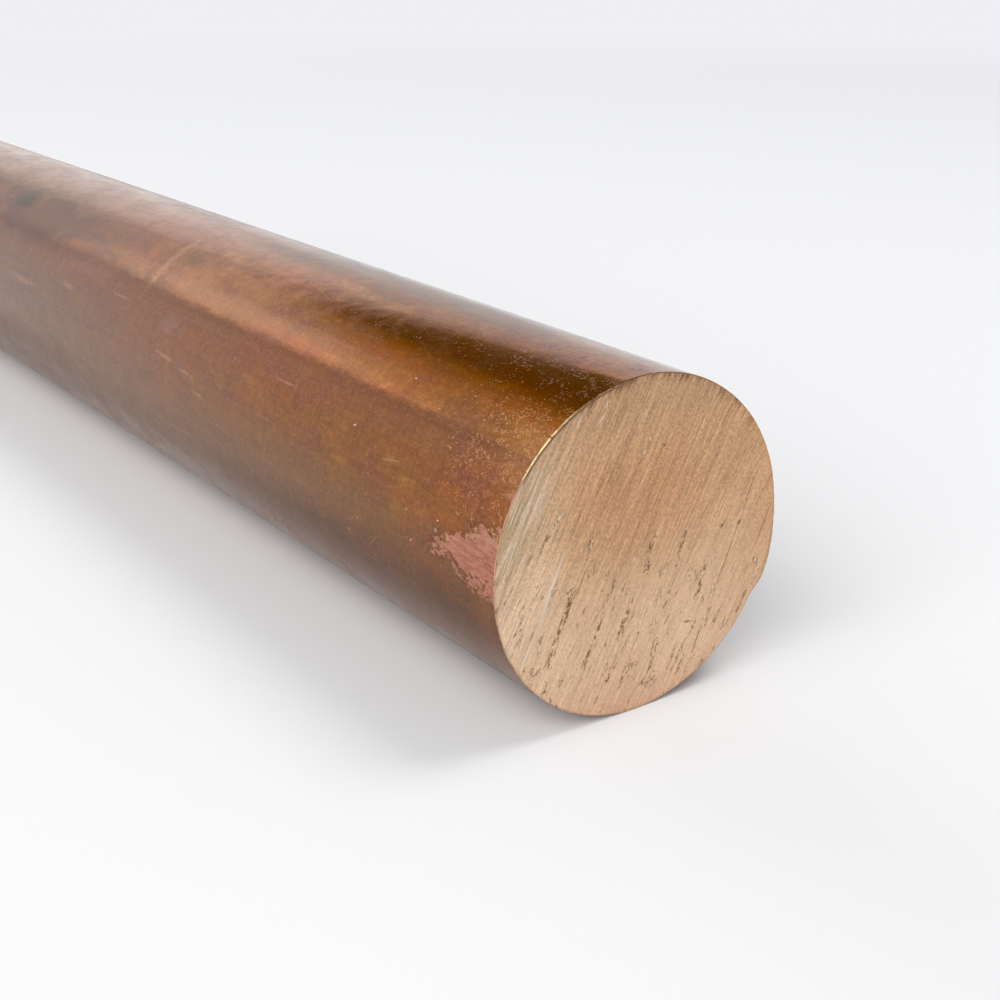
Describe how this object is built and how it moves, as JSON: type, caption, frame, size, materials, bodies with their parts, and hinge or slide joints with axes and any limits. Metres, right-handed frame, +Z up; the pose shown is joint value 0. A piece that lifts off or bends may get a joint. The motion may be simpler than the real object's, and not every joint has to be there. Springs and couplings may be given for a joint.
{
  "type": "round metal bar",
  "caption": "Solid bronze round bar, sawn square at both ends: stock for turning, milling or cutting to length.",
  "frame": {"origin": "on the floor under the middle of the bar, which lies on its side", "axes": "+X along the bar towards the sawn end in view, +Z up"},
  "size_m": [0.3, 0.05, 0.05],
  "materials": {
    "bronze": "brown tarnished skin with pink copper patches and handling scratches; the sawn ends are pale tan bare metal with saw marks"
  },
  "bodies": {
    "root": {"round_bar": "bronze"}
  },
  "joints": []
}
